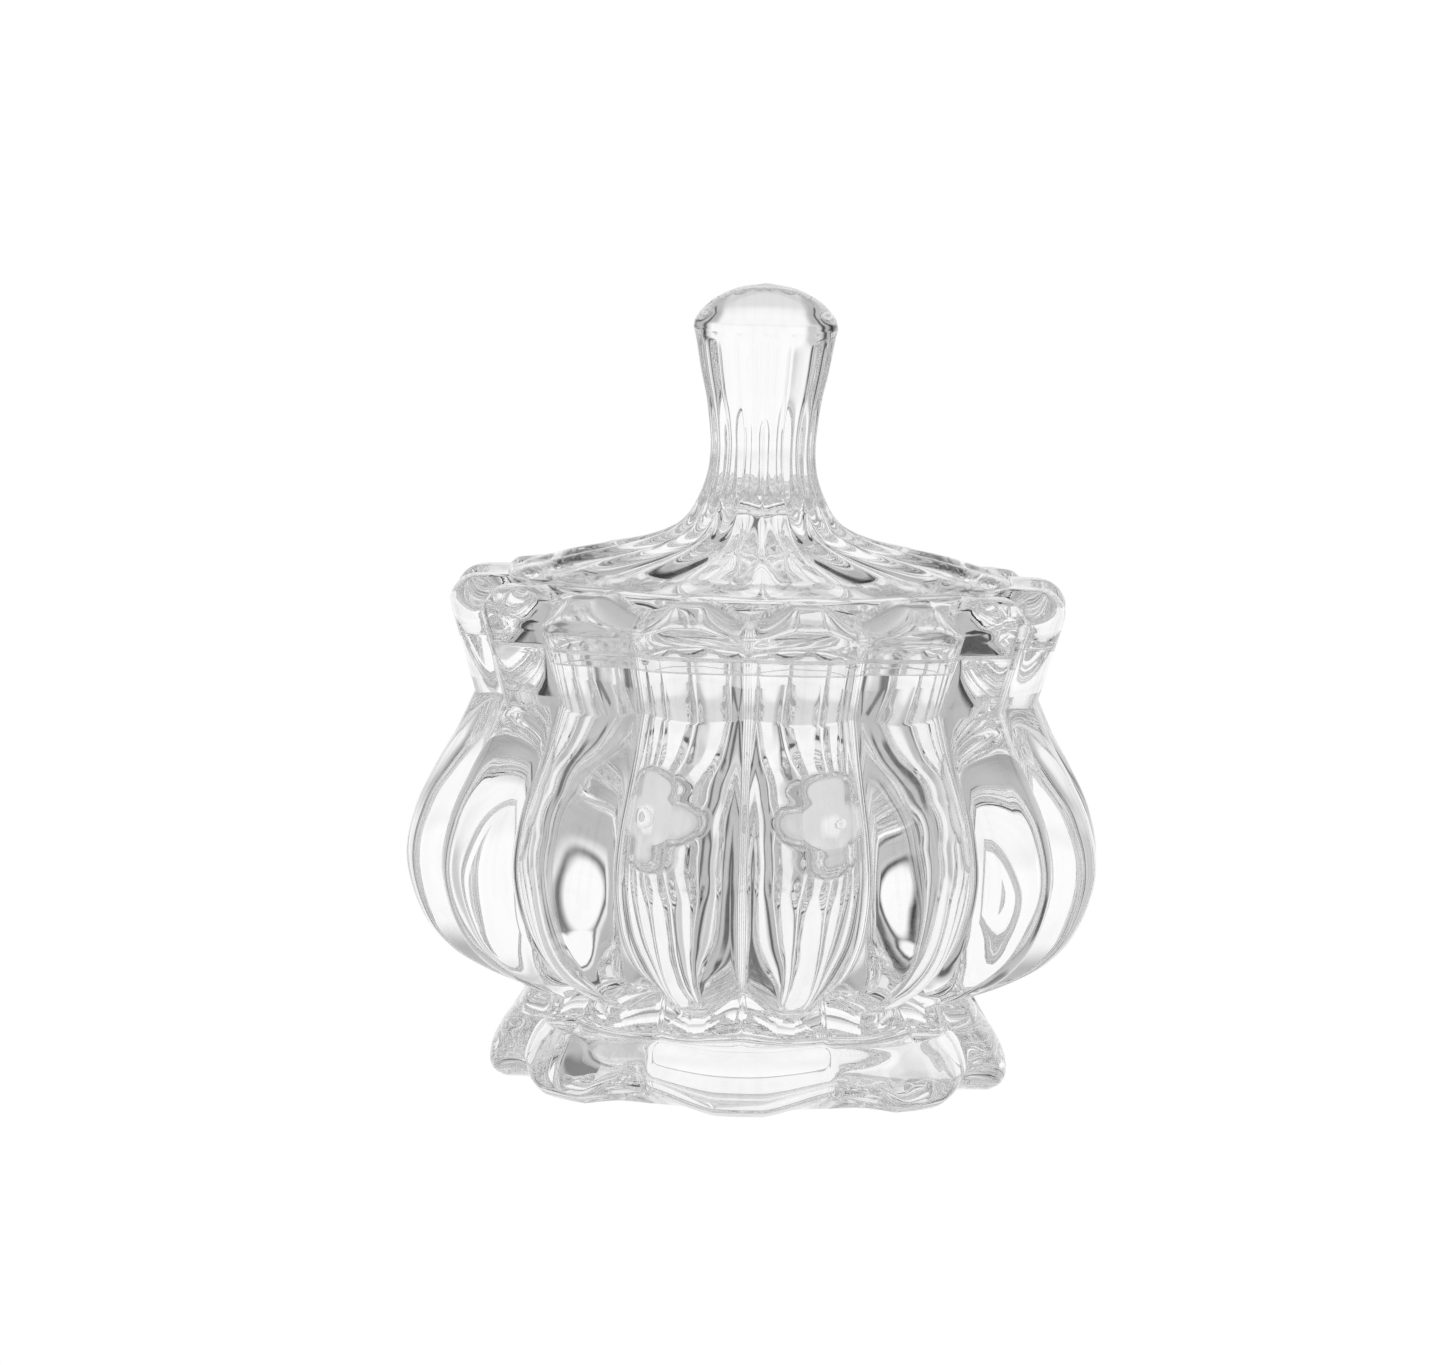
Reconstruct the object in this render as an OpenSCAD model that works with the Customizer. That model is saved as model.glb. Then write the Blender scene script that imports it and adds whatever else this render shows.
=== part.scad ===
// Covered powder jar of clear pressed glass: a petalled bowl on a lobed foot,
// closed by a loose fluted lid whose finial is one piece with it.
// Millimetres, +Z up. The origin is the centre of the circle that the foot stands on.

/* [Petals] */
// Number of petals round the bowl and of flutes round the lid; the foot has half as many lobes
petals = 16; // [12:4:16]
// Flat facets that make up each petal
petal_facets = 4; // [4:2:6]
// Angle by which the lid's flutes are turned from the bowl's petals
lid_turn = 2.5; // [0:0.5:22.5]

/* [Bowl] */
// Radius of the belly, over the crests of the petals
belly_r = 52.4; // [51:0.1:54]
// Height of the widest ring of the belly
belly_z = 33.6; // [32.6:0.1:34.6]
// Depth of the groove between two petals at the belly
belly_groove = 6.2; // [5:0.1:7]
// Radius of the waist under the rim, over the crests
waist_r = 42.6; // [42:0.1:43.5]
// Height of the waist
waist_z = 58.7; // [58:0.1:59.4]
// Depth of the groove at the waist
waist_groove = 4; // [3:0.1:4.2]

/* [Rim] */
// Radius of the flared rim, over the crests
rim_r = 46.8; // [46.4:0.1:48]
// Height of the rim at the crest of a petal
rim_z = 76.3; // [76:0.1:77]
// How far the outer edge of the rim dips between two petals
rim_dip = 4.9; // [4:0.1:5.4]
// How far the inner edge of the rim dips between two petals
lip_dip = 2; // [1:0.1:2.4]

/* [Foot] */
// Radius of the foot, over the crests of its lobes
foot_r = 38.9; // [38:0.1:40]
// Depth of the notch between two lobes of the foot
foot_notch = 3.8; // [2.5:0.1:4.2]
// Height of the ridge where the foot's top slope starts
foot_ridge_z = 10.4; // [10:0.1:10.8]
// Radius where the bowl meets the foot, over the crests
joint_r = 33.4; // [33:0.1:34]
// Height where the bowl meets the foot
joint_z = 14.2; // [13.8:0.1:14.6]
// How far the bottom edge of the foot rises between two lobes
foot_arch = 1.9; // [1:0.1:2.2]
// Height of the hollow under the foot
foot_hollow = 8.5; // [6:0.5:9]

/* [Inside of the bowl] */
// Radius of the seat that holds the lid's flange
seat_r = 38.3; // [38.2:0.1:38.5]
// Height of the ledge that the lid rests on
seat_z = 68; // [67:0.1:69]
// Radius of the powder well at the ledge
well_top_r = 35.6; // [35.3:0.1:36]
// Radius of the powder well above its rounded floor
well_low_r = 35.2; // [33:0.1:35.4]
// Height of the floor of the powder well, above a thick base
floor_z = 19.5; // [19:0.5:24]
// Radius of the corner between the floor and the wall
floor_round = 9; // [8:0.5:12]

/* [Lid] */
// Radius of the lid's flange
flange_r = 37.8; // [37.4:0.1:37.8]
// Clearance under the flange when the lid is on
seat_gap = 0.05; // [0.05:0.05:0.2]
// Radius of the ring that keeps the lid centred
ring_r = 34.9; // [34.3:0.1:34.9]
// Depth of that ring below the ledge
ring_drop = 2.4; // [1.5:0.1:4]
// Thickness of that ring
ring_wall = 2.6; // [2:0.1:4]
// Height of the top edge of the flange
flange_top_z = 75.9; // [75.4:0.1:76.2]
// Depth of the flutes on the lid's slope
lid_flute = 1.1; // [0.6:0.1:1.4]

/* [Finial] */
// Radius of the thin neck of the finial
neck_r = 7.95; // [7.6:0.05:8.6]
// Height of the neck
neck_z = 95.5; // [94.5:0.1:96.5]
// Radius of the finial's head
head_r = 10.85; // [10.4:0.05:11.4]
// Height of the widest ring of the head
head_z = 113.4; // [112.8:0.1:114]
// Height of the top of the head
top_z = 120.1; // [119.5:0.1:121]
// Depth of the flutes on the finial
neck_flute = 0.7; // [0.3:0.1:0.9]

/* [Hidden] */
$fn = 96;

glass = [0.93, 0.95, 0.96, 0.45];
foot_lobes = petals / 2;
steps = petals * petal_facets;
// The wave in height from groove to crest is cut off flat at the crest by this factor,
// which gives each lobe of the foot a level pad to stand on
crest_flat = 1.18;

// A station is [crest radius, crest height, valley radius, valley height]: the
// outline through the middle of a petal and the outline through the groove
// beside it. belly(r, z, g, d) measures one from the belly: r in from it, z up
// from it, a groove g deep whose outline lies d higher.
function belly(r, z, g, d) =
    [belly_r - r, belly_z + z, belly_r - r - g, belly_z + z + d];

joint_station = [joint_r, joint_z, joint_r - 3.9, joint_z + 2.8];
waist_station = [waist_r, waist_z, waist_r - waist_groove, waist_z + 0.5];

foot_stations = [
    [foot_r - 14, foot_hollow, foot_r - 14, foot_hollow],
    [foot_r - 8.9, 0, foot_r - 8.9, 0],
    [foot_r - 2.3, 0, foot_r - 5.3, foot_arch],
    [foot_r - 0.5, 1, foot_r - foot_notch - 0.5, foot_arch + 1],
    [foot_r, 2.8, foot_r - foot_notch, 4.2],
    [foot_r - 0.4, 5.2, foot_r - foot_notch - 0.3, 6],
    [foot_r - 1.6, 7.8, foot_r - foot_notch - 1.3, 8.2],
    [foot_r - 3.3, foot_ridge_z, foot_r - foot_notch - 2.9, foot_ridge_z - 0.2]
];

bowl_stations = [
    joint_station,
    belly(12.3, -16.7, 5.3, 2.4),
    belly(6.6, -13.2, 5.8, 2.4),
    belly(2.4, -8, 5.8, 2.2),
    belly(0, 0, belly_groove, 1.4),
    belly(1.2, 7.6, 6, 0.8),
    belly(4.2, 14.1, 5.4, 0.5),
    belly(7.3, 19.5, 4.5, 0.3),
    waist_station
];

rim_stations = [
    waist_station,
    [rim_r - 0.5, rim_z - 5.4, rim_r - 3.8, rim_z - 5.8],
    [rim_r, rim_z - 3.2, rim_r - 3.7, rim_z - rim_dip],
    [rim_r - 0.7, rim_z - 1.3, rim_r - 4.4, rim_z - rim_dip + 0.7],
    [rim_r - 2.5, rim_z - 0.2, rim_r - 5.2, rim_z - rim_dip + 1.3],
    [seat_r - 3, rim_z + 0.1, seat_r - 3, rim_z - lip_dip + 1.4]
];

// The grip's outline from the lid's slope to the head, then the head's dome.
slope_stations = [
    [flange_r, flange_top_z, flange_r, flange_top_z],
    [flange_r - 0.9, flange_top_z + 0.7, flange_r - 0.9, flange_top_z + 0.4],
    [flange_r - 3.4, flange_top_z + 1.7, flange_r - 3.4, flange_top_z + 1.2],
    [flange_r - 9.8, flange_top_z + 3.5, flange_r - 9.8, flange_top_z + 3.5 - lid_flute],
    [flange_r - 17.8, flange_top_z + 5.2, flange_r - 17.8, flange_top_z + 5.2 - lid_flute],
    [neck_r + 6.3, neck_z - 12.6, neck_r + 5.9, neck_z - 12.6 - lid_flute],
    [neck_r + 3.4, neck_z - 10.5, neck_r + 2.9, neck_z - 10.5 - lid_flute / 2],
    [neck_r + 1.4, neck_z - 7, neck_r + 1.4 - neck_flute, neck_z - 7],
    [neck_r + 0.3, neck_z - 3.4, neck_r + 0.3 - neck_flute, neck_z - 3.4],
    [neck_r, neck_z, neck_r - neck_flute, neck_z],
    [neck_r + 0.2, neck_z + 3, neck_r + 0.2 - neck_flute, neck_z + 3],
    [neck_r + 0.8, neck_z + 7.4, neck_r + 0.8 - neck_flute, neck_z + 7.4],
    [head_r - 1.2, head_z - 6.4, head_r - 1.2 - neck_flute, head_z - 6.4],
    [head_r - 0.4, head_z - 2, head_r - 0.6 - neck_flute / 2, head_z - 2],
    [head_r, head_z, head_r, head_z]
];

dome_stations = [
    [head_r, head_z, head_r, head_z],
    [head_r - 0.3, head_z + 1.3, head_r - 0.3, head_z + 1.3],
    [head_r - 1.2, head_z + 2.6, head_r - 1.2, head_z + 2.6],
    [head_r - 3.2, top_z - 2.3, head_r - 3.2, top_z - 2.3],
    [head_r - 6.6, top_z - 0.7, head_r - 6.6, top_z - 0.7]
];

// Catmull-Rom curve through stations, k steps between two, the last one left out.
function between(a, b, c, d, t) =
    0.5 * (2 * b + (c - a) * t + (2 * a - 5 * b + 4 * c - d) * t * t
        + (3 * b - a - 3 * c + d) * t * t * t);
function smooth(s, k) =
    let (n = len(s), e = concat([2 * s[0] - s[1]], s, [2 * s[n - 1] - s[n - 2]]))
    [for (i = [1:n - 1]) for (j = [0:k - 1]) between(e[i - 1], e[i], e[i + 1], e[i + 2], j / k)];

// Radius at an angle from the middle of a lobe: an arc that passes through the
// crest and meets its neighbours in a sharp groove.
function lobe_r(a, n, crest, valley) =
    let (c = (crest * crest - valley * valley) / (2 * (crest - valley * cos(180 / n))))
    c * cos(a) + sqrt(pow(crest - c, 2) - pow(c * sin(a), 2));

// One closed ring of points for a station; lobe edges lie at turn + k * 360 / n.
function ring(s, n, turn) = [
    for (i = [0:steps - 1])
        let (p = i * 360 / steps,
            w = 360 / n,
            a = (p - turn) - floor((p - turn) / w) * w - w / 2,
            r = lobe_r(a, n, s[0], s[2]),
            lift = min(1, crest_flat * (1 + cos(n * a)) / 2))
        [r * sin(p), -r * cos(p), s[3] + (s[1] - s[3]) * lift]
];

// Closed skin over rings that run from a bottom pole to a top pole.
module skin(rings, bottom_z, top_z) {
    m = len(rings);
    points = concat([for (r = rings) each r], [[0, 0, bottom_z], [0, 0, top_z]]);
    sides = [
        for (j = [0:m - 2]) for (i = [0:steps - 1])
            let (a = j * steps + i, b = j * steps + (i + 1) % steps)
            each [[a, a + steps, b], [b, a + steps, b + steps]]
    ];
    bottom = [for (i = [0:steps - 1]) [m * steps, i, (i + 1) % steps]];
    top = [for (i = [0:steps - 1])
        [m * steps + 1, (m - 1) * steps + (i + 1) % steps, (m - 1) * steps + i]];
    polyhedron(points, concat(sides, bottom, top), convexity = 10);
}

// Quarter circle about [x, z] in the profile plane, from angle a0 to a1.
function corner(x, z, r, a0, a1, k) =
    [for (i = [0:k]) let (a = a0 + (a1 - a0) * i / k) [x + r * cos(a), z + r * sin(a)]];

// Outside of the jar, solid: foot, bowl and flared rim.
module jar_outside() {
    rings = concat(
        [for (s = foot_stations) ring(s, foot_lobes, 180 / foot_lobes)],
        [for (s = smooth(bowl_stations, 2)) ring(s, petals, 0)],
        [for (s = rim_stations) ring(s, petals, 0)]
    );
    skin(rings, foot_hollow, rim_z - lip_dip);
}

// Powder well, ledge and seat, as the space that is taken out of the jar.
module jar_inside() {
    rotate_extrude()
        polygon(concat(
            [[0, floor_z]],
            corner(well_low_r - floor_round, floor_z + floor_round, floor_round, -90, 0, 8),
            [[well_top_r, seat_z], [seat_r, seat_z], [seat_r, rim_z + 5], [0, rim_z + 5]]
        ));
}

// Space under the lid, with the pit that reaches into the root of the finial.
module lid_inside() {
    under_z = flange_top_z - 1.2;
    rotate_extrude()
        polygon([
            [0, seat_z - ring_drop - 1],
            [ring_r - ring_wall, seat_z - ring_drop - 1],
            [ring_r - ring_wall, under_z - 3],
            [ring_r - ring_wall - 3, under_z],
            [neck_r + 1.5, under_z + 4.8],
            [neck_r - 2.6, under_z + 7.6],
            [neck_r - 4.4, under_z + 10.6],
            [0, under_z + 11.4]
        ]);
}

module jar() {
    color(glass) difference() {
        jar_outside();
        jar_inside();
    }
}

module lid() {
    flange_z = seat_z + seat_gap;
    rings = concat(
        [ring([flange_r, flange_z, flange_r, flange_z], petals, lid_turn)],
        [for (s = smooth(slope_stations, 2)) ring(s, petals, lid_turn)],
        [for (s = smooth(dome_stations, 2)) ring(s, petals, lid_turn)]
    );
    color(glass) difference() {
        union() {
            skin(rings, flange_z, top_z);
            translate([0, 0, seat_z - ring_drop]) cylinder(r = ring_r, h = ring_drop + 4);
        }
        lid_inside();
    }
}

jar();
lid();
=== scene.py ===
import math
import bpy
import numpy as np
from mathutils import Matrix, Vector


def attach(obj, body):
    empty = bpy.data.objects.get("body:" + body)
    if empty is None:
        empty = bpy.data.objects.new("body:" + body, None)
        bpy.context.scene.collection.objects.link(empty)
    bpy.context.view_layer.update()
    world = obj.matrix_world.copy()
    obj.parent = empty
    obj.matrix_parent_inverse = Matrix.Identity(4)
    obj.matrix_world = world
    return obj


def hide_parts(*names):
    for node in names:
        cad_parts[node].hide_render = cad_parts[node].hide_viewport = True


# Covered powder jar of clear pressed glass. Outlines are in millimetres, meshes in metres.
# A station is [crest radius, crest height, valley radius, valley height].

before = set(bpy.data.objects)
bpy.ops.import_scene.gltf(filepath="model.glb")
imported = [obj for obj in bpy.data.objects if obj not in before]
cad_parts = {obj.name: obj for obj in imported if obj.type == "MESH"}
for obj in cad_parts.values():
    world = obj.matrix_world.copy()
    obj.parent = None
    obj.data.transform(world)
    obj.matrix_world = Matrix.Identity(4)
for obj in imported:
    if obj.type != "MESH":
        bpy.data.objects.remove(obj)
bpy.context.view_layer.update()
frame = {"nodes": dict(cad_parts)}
metre = 0.001
print("frame loaded:", ", ".join(frame["nodes"]))


# Smooth curve through the stations: each point is a cubic blend of its four neighbours.
def catmullRom(stations, steps):
    s = np.array(stations, float)
    e = np.vstack([2 * s[0] - s[1], s, 2 * s[-1] - s[-2]])
    t = np.tile(np.arange(steps) / steps, len(s) - 1)[:, None]
    i = np.repeat(np.arange(1, len(s)), steps)
    a, b, c, d = e[i - 1], e[i], e[i + 1], e[i + 2]
    curve = 0.5 * (2 * b + (c - a) * t + (2 * a - 5 * b + 4 * c - d) * t ** 2
                   + (3 * b - a - 3 * c + d) * t ** 3)
    return np.vstack([curve, s[-1]])


# Straight path whose inner corners become parabolas, cut back from the corner by their radius.
def roundedPath(stations, radii, steps=6):
    s = np.array(stations, float)
    rows = [s[:1]]
    t = np.linspace(0, 1, steps + 1)[:, None]
    for before, here, after, radius in zip(s[:-2], s[1:-1], s[2:], radii):
        toBefore, toAfter = before - here, after - here
        longBefore, longAfter = np.linalg.norm(toBefore[:2]), np.linalg.norm(toAfter[:2])
        p = here + toBefore * min(radius, 0.48 * longBefore) / longBefore
        q = here + toAfter * min(radius, 0.48 * longAfter) / longAfter
        rows.append((1 - t) ** 2 * p + 2 * t * (1 - t) * here + t ** 2 * q)
    return np.vstack(rows + [s[-1:]])


# Paths end to end; the first station of each later one is the last of the one before.
def joined(*paths):
    return np.vstack([paths[0]] + [p[1:] for p in paths[1:]])


# Stations of a round stretch, where crest and valley are the same.
def roundStations(points):
    p = np.array(points, float)
    return np.hstack([p, p])


# Arc about (x, z) in the outline's plane, angles in degrees.
def outlineArc(x, z, radius, start, end, count):
    a = np.radians(np.linspace(start, end, count))
    return np.stack([x + radius * np.cos(a), z + radius * np.sin(a)], 1)


# Rings of points. With a the angle from a lobe's middle, the radius is
# c cos a + sqrt((crest - c)^2 - (c sin a)^2), an arc that meets the next lobe's in a groove,
# and the height goes from valley to crest with (1 + cos(lobes a)) / 2, cut off flat at the crest.
def lobedRings(rows, lobes, turn, across, soft, flat):
    crestR, crestZ, valleyR, valleyZ = [rows[:, k:k + 1] for k in range(4)]
    phi = np.arange(across)[None, :] / across * 2 * math.pi
    half = math.pi / lobes
    a = np.mod(phi - turn, 2 * half) - half
    fromGroove = np.sqrt((half - np.abs(a)) ** 2 + soft ** 2)
    a = np.maximum(half - fromGroove, 0)
    c = (crestR ** 2 - valleyR ** 2) / (2 * (crestR - valleyR * math.cos(half)) + 1e-9)
    r = c * np.cos(a) + np.sqrt(np.maximum((crestR - c) ** 2 - (c * np.sin(a)) ** 2, 0))
    lift = np.minimum(1, flat * (1 + np.cos(lobes * (phi - turn - half))) / 2)
    z = valleyZ + (crestZ - valleyZ) * lift
    return np.stack([r * np.sin(phi), -r * np.cos(phi), z], -1)


# Quads between neighbouring rings, closed by a fan of triangles at each pole.
def closedSkin(name, rings, poleLow, poleHigh):
    rows, across = rings.shape[:2]
    points = np.vstack([rings.reshape(-1, 3), [[0, 0, poleLow], [0, 0, poleHigh]]]) * metre
    k = np.arange(across)
    nextK = np.roll(k, -1)
    base = (np.arange(rows - 1) * across)[:, None]
    quads = np.stack(np.broadcast_arrays(base + k, base + nextK, base + across + nextK,
                                         base + across + k), -1).reshape(-1, 4)
    last = (rows - 1) * across
    low, high = rows * across, rows * across + 1
    fans = np.vstack([np.stack([np.full(across, low), nextK, k], 1),
                      np.stack([np.full(across, high), last + k, last + nextK], 1)])
    mesh = bpy.data.meshes.new(name)
    mesh.vertices.add(len(points))
    mesh.vertices.foreach_set("co", points.ravel())
    mesh.loops.add(quads.size + fans.size)
    mesh.loops.foreach_set("vertex_index", np.r_[quads.ravel(), fans.ravel()])
    mesh.polygons.add(len(quads) + len(fans))
    starts = np.r_[np.arange(len(quads)) * 4, quads.size + np.arange(len(fans)) * 3]
    mesh.polygons.foreach_set("loop_start", starts)
    mesh.polygons.foreach_set("loop_total", np.r_[np.full(len(quads), 4), np.full(len(fans), 3)])
    mesh.polygons.foreach_set("use_smooth", np.ones(len(starts), bool))
    mesh.update(calc_edges=True)
    piece = bpy.data.objects.new(name, mesh)
    bpy.context.scene.collection.objects.link(piece)
    print(name, "rings", rows, "triangles", 2 * len(quads) + len(fans))
    return piece


jarShape = {
    "petals": 16, "across": 384, "grooveSoft": 0.010, "crestFlat": 1.18,
    "bellyR": 52.4, "bellyZ": 33.6, "bellyGroove": 6.2,
    "waistR": 42.6, "waistZ": 58.7, "waistGroove": 4.0,
    "rimR": 46.8, "rimZ": 76.3, "rimDip": 4.9, "lipDip": 2.0,
    "footR": 38.9, "footNotch": 3.8, "footRidgeZ": 10.4, "footArch": 1.9, "footHollow": 8.5,
    "jointR": 33.4, "jointZ": 14.2,
    "seatR": 38.3, "seatZ": 68.0, "wellTopR": 35.6, "wellLowR": 35.2, "floorZ": 19.5,
    "floorRound": 9.0,
}


# Hollow, pad, rounded edge and slope of the foot.
def jarFoot(s):
    r, notch, arch = s["footR"], s["footNotch"], s["footArch"]
    hollow = roundedPath([[0.5, s["footHollow"], 0.5, s["footHollow"]],
                          [r - 14, s["footHollow"], r - 14, s["footHollow"]],
                          [r - 8.9, 0, r - 8.9, 0],
                          [r - 2.3, 0, r - 5.3, arch]], [3.5, 0.8], 7)
    edge = catmullRom([[r - 2.3, 0, r - 5.3, arch],
                       [r - 0.5, 1, r - notch - 0.5, arch + 1],
                       [r, 2.8, r - notch, 4.2],
                       [r - 0.4, 5.2, r - notch - 0.3, 6],
                       [r - 1.6, 7.8, r - notch - 1.3, 8.2],
                       [r - 3.3, s["footRidgeZ"], r - notch - 2.9, s["footRidgeZ"] - 0.2]], 7)
    return joined(hollow, edge)


# Petals from the foot to the waist, measured in and up from the belly's widest ring.
def jarBowl(s):
    def belly(inBy, up, groove, lag):
        return [s["bellyR"] - inBy, s["bellyZ"] + up, s["bellyR"] - inBy - groove, s["bellyZ"] + up + lag]

    return catmullRom([
        [s["jointR"], s["jointZ"], s["jointR"] - 3.9, s["jointZ"] + 2.8],
        belly(12.3, -16.7, 5.3, 2.4), belly(6.6, -13.2, 5.8, 2.4), belly(2.4, -8, 5.8, 2.2),
        belly(0, 0, s["bellyGroove"], 1.4), belly(1.2, 7.6, 6, 0.8), belly(4.2, 14.1, 5.4, 0.5),
        belly(7.3, 19.5, 4.5, 0.3),
        [s["waistR"], s["waistZ"], s["waistR"] - s["waistGroove"], s["waistZ"] + 0.5]], 11)


# Straight flare, crease, lens-shaped face of each petal, then the wavy top in to the seat.
def jarRim(s):
    r, z = s["rimR"], s["rimZ"]
    return roundedPath([
        [s["waistR"], s["waistZ"], s["waistR"] - s["waistGroove"], s["waistZ"] + 0.5],
        [r - 0.5, z - 5.4, r - 3.8, z - 5.8],
        [r, z - 3.2, r - 3.7, z - s["rimDip"]],
        [r - 2.2, z - 0.2, r - 5.2, z - s["rimDip"] + 1.3],
        [s["seatR"], z, s["seatR"], z - s["lipDip"]]], [0.4, 1.4, 2.0], 6)


# Seat wall, ledge, well and its rounded floor, all round.
def jarInside(s):
    low = s["wellLowR"] - s["floorRound"]
    roundTop = s["floorZ"] + s["floorRound"]
    wall = roundedPath([[s["seatR"], s["rimZ"] - s["lipDip"] - 1], [s["seatR"], s["seatZ"]],
                        [s["wellTopR"], s["seatZ"]], [s["wellLowR"], roundTop]], [0.5, 0.5], 5)
    corner = outlineArc(low, roundTop, s["floorRound"], 0, -90, 20)
    return roundStations(np.vstack([wall, corner[1:], [[0.5, s["floorZ"]]]]))


def buildJar(s):
    petals, across = s["petals"], s["across"]
    soft, flat = s["grooveSoft"], s["crestFlat"]
    parts = [lobedRings(jarFoot(s), petals // 2, 2 * math.pi / petals, across, soft, flat),
             lobedRings(jarBowl(s), petals, 0, across, soft, flat),
             lobedRings(jarRim(s)[1:], petals, 0, across, soft, flat),
             lobedRings(jarInside(s), petals, 0, across, soft, flat)]
    return closedSkin("pressed_jar", np.concatenate(parts), s["footHollow"], s["floorZ"])


lidShape = {
    "flutes": 16, "across": 384, "turn": math.radians(2.5), "grooveSoft": 0.012,
    "flangeR": 37.8, "flangeZ": 68.05, "flangeTopZ": 75.9,
    "ringR": 34.9, "ringZ": 65.6, "ringWall": 2.6,
    "slopeFlute": 1.1, "neckR": 7.95, "neckZ": 95.5, "neckFlute": 0.7, "gripFlute": 0.3,
    "headR": 10.85, "headZ": 113.4, "topZ": 120.1,
}


# From the pit under the finial out along the underside to the ring and the flange.
def lidUnder(s):
    under = s["flangeTopZ"] - 1.2
    inner = s["ringR"] - s["ringWall"]
    return roundedPath(roundStations([
        [0.4, under + 11.4], [s["neckR"] - 4.4, under + 10.6], [s["neckR"] - 2.6, under + 7.6],
        [s["neckR"] + 1.5, under + 4.8], [inner - 3, under], [inner, under - 3],
        [inner, s["ringZ"]], [s["ringR"], s["ringZ"]], [s["ringR"], s["flangeZ"]],
        [s["flangeR"], s["flangeZ"]], [s["flangeR"], s["flangeTopZ"]],
        [s["flangeR"] - 0.9, s["flangeTopZ"] + 0.7]]),
        [1.5, 2.5, 4, 2.5, 1.5, 0.4, 0.4, 0.2, 0.4, 0.5], 5)


# Fluted slope, neck and head up to the dome.
def lidTop(s):
    r, z, nr, nz, hr, hz = (s["flangeR"], s["flangeTopZ"], s["neckR"], s["neckZ"],
                            s["headR"], s["headZ"])
    cut, nf, gf = s["slopeFlute"], s["neckFlute"], s["gripFlute"]
    slope = catmullRom([
        [r - 0.9, z + 0.7, r - 0.9, z + 0.6], [r - 3.4, z + 1.7, r - 3.4, z + 1.2],
        [r - 9.8, z + 3.5, r - 9.8, z + 3.5 - cut], [r - 17.8, z + 5.2, r - 17.8, z + 5.2 - cut],
        [nr + 6.3, nz - 12.6, nr + 5.9, nz - 12.6 - cut],
        [nr + 3.4, nz - 10.5, nr + 2.9, nz - 10.5 - cut / 2],
        [nr + 1.4, nz - 7, nr + 1.4 - nf, nz - 7], [nr + 0.3, nz - 3.4, nr + 0.3 - nf, nz - 3.4],
        [nr, nz, nr - nf, nz], [nr + 0.2, nz + 3, nr + 0.2 - nf, nz + 3],
        [nr + 0.8, nz + 7.4, nr + 0.8 - gf, nz + 7.4],
        [hr - 1.2, hz - 6.4, hr - 1.2 - gf, hz - 6.4],
        [hr - 0.4, hz - 2, hr - 0.4 - gf, hz - 2], [hr, hz, hr, hz]], 9)
    dome = catmullRom(roundStations([[hr, hz], [hr - 0.3, hz + 1.3], [hr - 1.2, hz + 2.6],
                                     [hr - 3.2, s["topZ"] - 2.3], [hr - 6.6, s["topZ"] - 0.7],
                                     [0.3, s["topZ"]]]), 6)
    return joined(slope, dome)


def buildLid(s):
    rows = joined(lidUnder(s), lidTop(s))
    rings = lobedRings(rows, s["flutes"], s["turn"], s["across"], s["grooveSoft"], 1.0)
    return closedSkin("fluted_lid", rings, rows[0, 1], s["topZ"])


glassLook = {"ior": 1.52, "waveSize": 45.0, "waveDepth": 0.0002, "sheen": 0.012, "fineSize": 90.0}


# Fire-polished surface of pressed glass: slow waves left by the mould and a faint change of gloss.
# Puts out the height of the waves and the roughness.
def pressedSurfaceGroup():
    group = bpy.data.node_groups.new("pressedSurface", "ShaderNodeTree")
    face = group.interface
    for name, value in (("Wave Scale", 14.0), ("Fine Scale", 90.0), ("Gloss Change", 0.01)):
        socket = face.new_socket(name, in_out="INPUT", socket_type="NodeSocketFloat")
        socket.default_value = value
    face.new_socket("Height", in_out="OUTPUT", socket_type="NodeSocketFloat")
    face.new_socket("Roughness", in_out="OUTPUT", socket_type="NodeSocketFloat")
    nodes, link = group.nodes, group.links.new
    given, made = nodes.new("NodeGroupInput"), nodes.new("NodeGroupOutput")
    place = nodes.new("ShaderNodeTexCoord")
    waves, fine = nodes.new("ShaderNodeTexNoise"), nodes.new("ShaderNodeTexNoise")
    waves.inputs["Detail"].default_value = 1.0
    fine.inputs["Detail"].default_value = 3.0
    for noise, scale in ((waves, "Wave Scale"), (fine, "Fine Scale")):
        link(place.outputs["Object"], noise.inputs["Vector"])
        link(given.outputs[scale], noise.inputs["Scale"])
    gloss = nodes.new("ShaderNodeMath")
    gloss.operation = "MULTIPLY"
    link(fine.outputs["Fac"], gloss.inputs[0])
    link(given.outputs["Gloss Change"], gloss.inputs[1])
    link(waves.outputs["Fac"], made.inputs["Height"])
    link(gloss.outputs[0], made.inputs["Roughness"])
    return group


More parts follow.
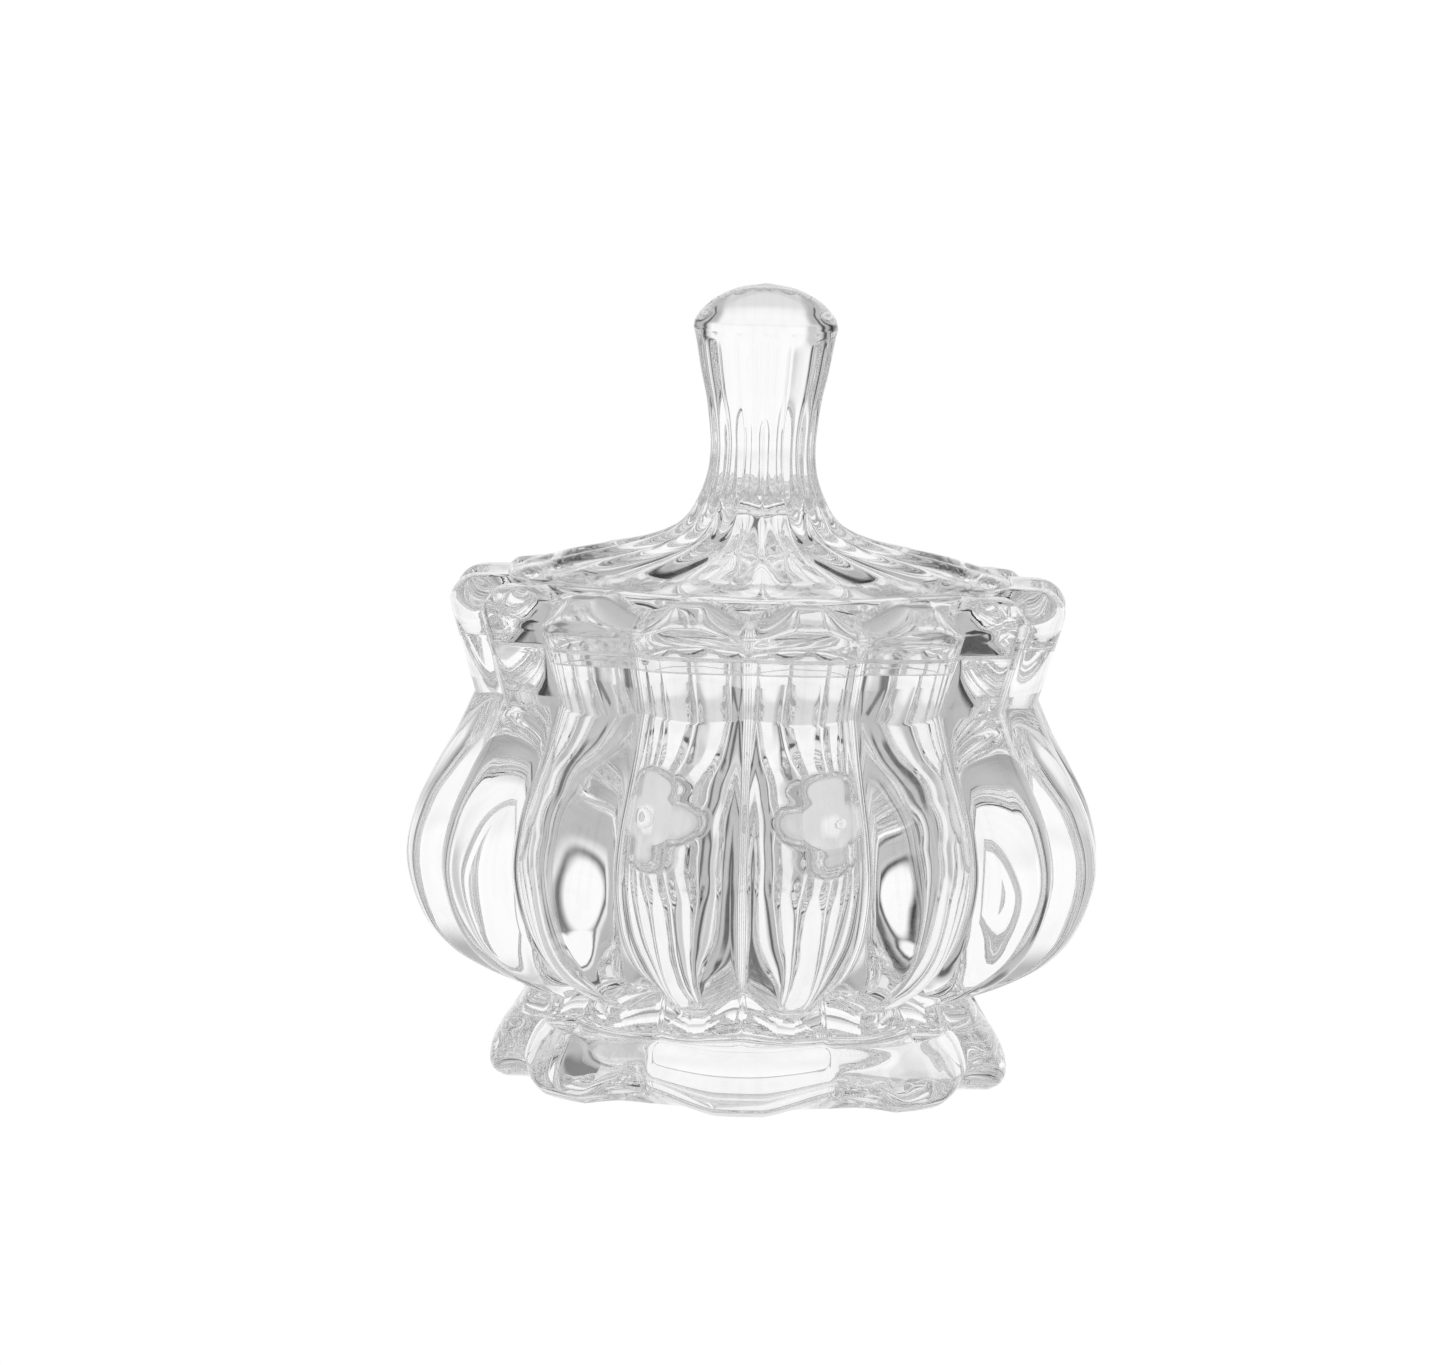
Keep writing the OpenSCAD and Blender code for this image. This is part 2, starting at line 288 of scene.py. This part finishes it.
# Clear glass: the colour, transmission and IOR are the shader's own, waves and gloss the group's.
def glassMaterial(name, look, surface):
    material = bpy.data.materials.new(name)
    material.use_nodes = True
    nodes, link = material.node_tree.nodes, material.node_tree.links.new
    shader = nodes["Principled BSDF"]
    shader.inputs["Base Color"].default_value = (1, 1, 1, 1)
    shader.inputs["IOR"].default_value = look["ior"]
    shader.inputs["Transmission Weight"].default_value = 1
    pressed = nodes.new("ShaderNodeGroup")
    pressed.node_tree = surface
    pressed.inputs["Wave Scale"].default_value = look["waveSize"]
    pressed.inputs["Fine Scale"].default_value = look["fineSize"]
    pressed.inputs["Gloss Change"].default_value = look["sheen"]
    bump = nodes.new("ShaderNodeBump")
    bump.inputs["Distance"].default_value = look["waveDepth"]
    link(pressed.outputs["Height"], bump.inputs["Height"])
    link(bump.outputs["Normal"], shader.inputs["Normal"])
    link(pressed.outputs["Roughness"], shader.inputs["Roughness"])
    print("glass:", name, "ior", look["ior"])
    return material


# The studio as the glass sees it: a grey tent with panels, each by the azimuth and elevation
# of its middle, half its width and height and the softness of its edge in degrees, its
# brightness and its outline. Azimuth 0 is behind the jar and 90 is on its right; a later panel
# stands in front of the earlier ones.
studioLook = {
    "tent": 0.49,
    "floorSize": 6.0,
    "panels": [
        (0, -62, 180, 22, 6, 0.38, "box"),
        (0, -52, 38, 22, 10, 0.64, "box"),
        (0, -30, 32, 22, 6, 0.75, "box"),
        (0, -17, 30, 9, 4, 0.97, "box"),
        (0, 80, 180, 32, 15, 0.86, "box"),
        (0, 8, 40, 17, 5, 1.0, "box"),
        (-33, 8, 6, 16, 3, 0.62, "box"),
        (-125, 5, 20, 40, 12, 0.92, "box"),
        (125, 5, 20, 40, 12, 0.92, "box"),
        (-85, 0, 8, 17, 1.5, 0.85, "disc"),
        (-85.5, 0, 5.5, 14.5, 0.8, 0.12, "disc"),
        (-85.5, 0, 4, 12, 0.8, 1.0, "disc"),
        (80.5, 0, 8, 17, 1.5, 0.6, "disc"),
        (80.5, 0, 5.5, 14.5, 0.8, 0.02, "disc"),
        (80.5, 0, 4, 12, 0.8, 1.0, "disc"),
        (69, 9, 5, 9, 2, 0.06, "disc"),
        (180, 5, 34, 36, 10, 0.55, "box"),
        (162, 0, 4, 34, 1.5, 0.01, "box"),
        (-162, 0, 4, 34, 1.5, 0.01, "box"),
        (180, 0, 3, 30, 1.5, 0.01, "box"),
        (61, -8, 4, 16, 2, 0.02, "box"),
        (-60, -4, 4, 15, 2, 0.02, "box"),
        (-47, 0, 2.5, 30, 1.5, 0.08, "box"),
        (46, 0, 2.5, 30, 1.5, 0.08, "box"),
        (-72, 36, 12, 7, 3, 0.2, "box"),
        (72, 36, 12, 7, 3, 0.2, "box"),
        (0, 44, 60, 5, 2, 0.03, "box"),
    ],
}


def buildWorld(s):
    world = bpy.data.worlds.new("studioTent")
    bpy.context.scene.world = world
    world.use_nodes = True
    nodes, link = world.node_tree.nodes, world.node_tree.links.new
    nodes.clear()

    def calc(operation, first, second=None, third=None):
        node = nodes.new("ShaderNodeMath")
        node.operation = operation
        for socket, value in zip(node.inputs, (first, second, third)):
            if isinstance(value, (int, float)):
                socket.default_value = value
            elif value is not None:
                link(value, socket)
        return node.outputs[0]

    # 1 inside the half width, 0 outside, with a smooth edge
    def band(off, half, soft):
        edge = nodes.new("ShaderNodeMapRange")
        edge.interpolation_type = "SMOOTHSTEP"
        link(off, edge.inputs["Value"])
        edge.inputs["From Min"].default_value = half - soft
        edge.inputs["From Max"].default_value = half + soft
        edge.inputs["To Min"].default_value = 1
        edge.inputs["To Max"].default_value = 0
        return edge.outputs[0]

    # 1 inside an ellipse: the root of the squared offsets, each as a share of its half size
    def disc(turned, raised, wide, high, soft):
        across = calc("POWER", calc("DIVIDE", turned, float(wide)), 2.0)
        up = calc("POWER", calc("DIVIDE", raised, float(high)), 2.0)
        return band(calc("SQRT", calc("ADD", across, up)), 1, soft / min(wide, high))

    direction = nodes.new("ShaderNodeTexCoord")
    axes = nodes.new("ShaderNodeSeparateXYZ")
    link(direction.outputs["Generated"], axes.inputs[0])
    azimuth = calc("DEGREES", calc("ARCTAN2", axes.outputs[0], axes.outputs[1]))
    elevation = calc("DEGREES", calc("ARCSINE", axes.outputs[2]))
    light = s["tent"]
    for az, el, wide, high, soft, value, outline in s["panels"]:
        turned = calc("ABSOLUTE", calc("WRAP", calc("SUBTRACT", azimuth, float(az)), 180.0, -180.0))
        raised = calc("ABSOLUTE", calc("SUBTRACT", elevation, float(el)))
        if outline == "disc":
            mask = disc(turned, raised, wide, high, soft)
        else:
            mask = calc("MULTIPLY", band(turned, wide, soft), band(raised, high, soft))
        step = calc("MULTIPLY", mask, calc("SUBTRACT", float(value), light))
        light = calc("ADD", light, step)
    # what the camera sees directly is the white sweep
    path = nodes.new("ShaderNodeLightPath")
    seen = calc("MAXIMUM", light, path.outputs["Is Camera Ray"])
    sky = nodes.new("ShaderNodeBackground")
    out = nodes.new("ShaderNodeOutputWorld")
    link(seen, sky.inputs["Color"])
    link(sky.outputs[0], out.inputs[0])
    print("studio: panels", len(s["panels"]))


# White floor that the camera sees; the glass sees the tent's lower half in its place.
def buildFloor(s):
    size = s["floorSize"] / 2
    mesh = bpy.data.meshes.new("floor")
    mesh.from_pydata([(-size, -size, 0), (size, -size, 0), (size, size, 0), (-size, size, 0)], [],
                     [(0, 1, 2, 3)])
    floor = bpy.data.objects.new("floor", mesh)
    bpy.context.scene.collection.objects.link(floor)
    floor.location.z = -0.0002
    floor.visible_transmission = floor.visible_glossy = floor.visible_diffuse = False
    floor.visible_shadow = False
    material = bpy.data.materials.new("whiteFloor")
    material.use_nodes = True
    nodes = material.node_tree.nodes
    nodes.clear()
    glow, out = nodes.new("ShaderNodeEmission"), nodes.new("ShaderNodeOutputMaterial")
    material.node_tree.links.new(glow.outputs[0], out.inputs[0])
    mesh.materials.append(material)
    print("floor: width", s["floorSize"])


cameraPlace = {"azimuth": 1.8, "distance": 1.312, "height": 0.203, "aimZ": 0.060, "aimAside": -0.0052,
               "roll": 1.4, "frameWidth": 0.21675}


def buildCamera(c):
    camera = bpy.data.cameras.new("camera")
    holder = bpy.data.objects.new("camera", camera)
    bpy.context.scene.collection.objects.link(holder)
    bpy.context.scene.camera = holder
    a = math.radians(c["azimuth"])
    place = Vector((math.sin(a) * c["distance"], -math.cos(a) * c["distance"], c["height"]))
    aside = Vector((math.cos(a), math.sin(a), 0))
    sight = Vector((0, 0, c["aimZ"])) + aside * c["aimAside"] - place
    turned = sight.to_track_quat("-Z", "Y").to_matrix().to_4x4()
    holder.matrix_world = (Matrix.Translation(place) @ turned
                           @ Matrix.Rotation(math.radians(c["roll"]), 4, "Z"))
    camera.sensor_width = 36
    camera.lens = 36 * sight.length / c["frameWidth"]
    camera.clip_start, camera.clip_end = 0.01, 20
    print("camera: lens", round(camera.lens, 1))


jar = buildJar(jarShape)
lid = buildLid(lidShape)
surface = pressedSurfaceGroup()
jar.data.materials.append(glassMaterial("jarGlass", glassLook, surface))
lid.data.materials.append(glassMaterial("lidGlass", glassLook, surface))
for piece, node in ((jar, "jar"), (lid, "lid")):
    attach(piece, node)
    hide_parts(node)

buildWorld(studioLook)
buildFloor(studioLook)
buildCamera(cameraPlace)

scene = bpy.context.scene
scene.view_settings.view_transform = "Standard"
scene.cycles.max_bounces = 32
scene.cycles.transmission_bounces = 32
scene.cycles.glossy_bounces = 16
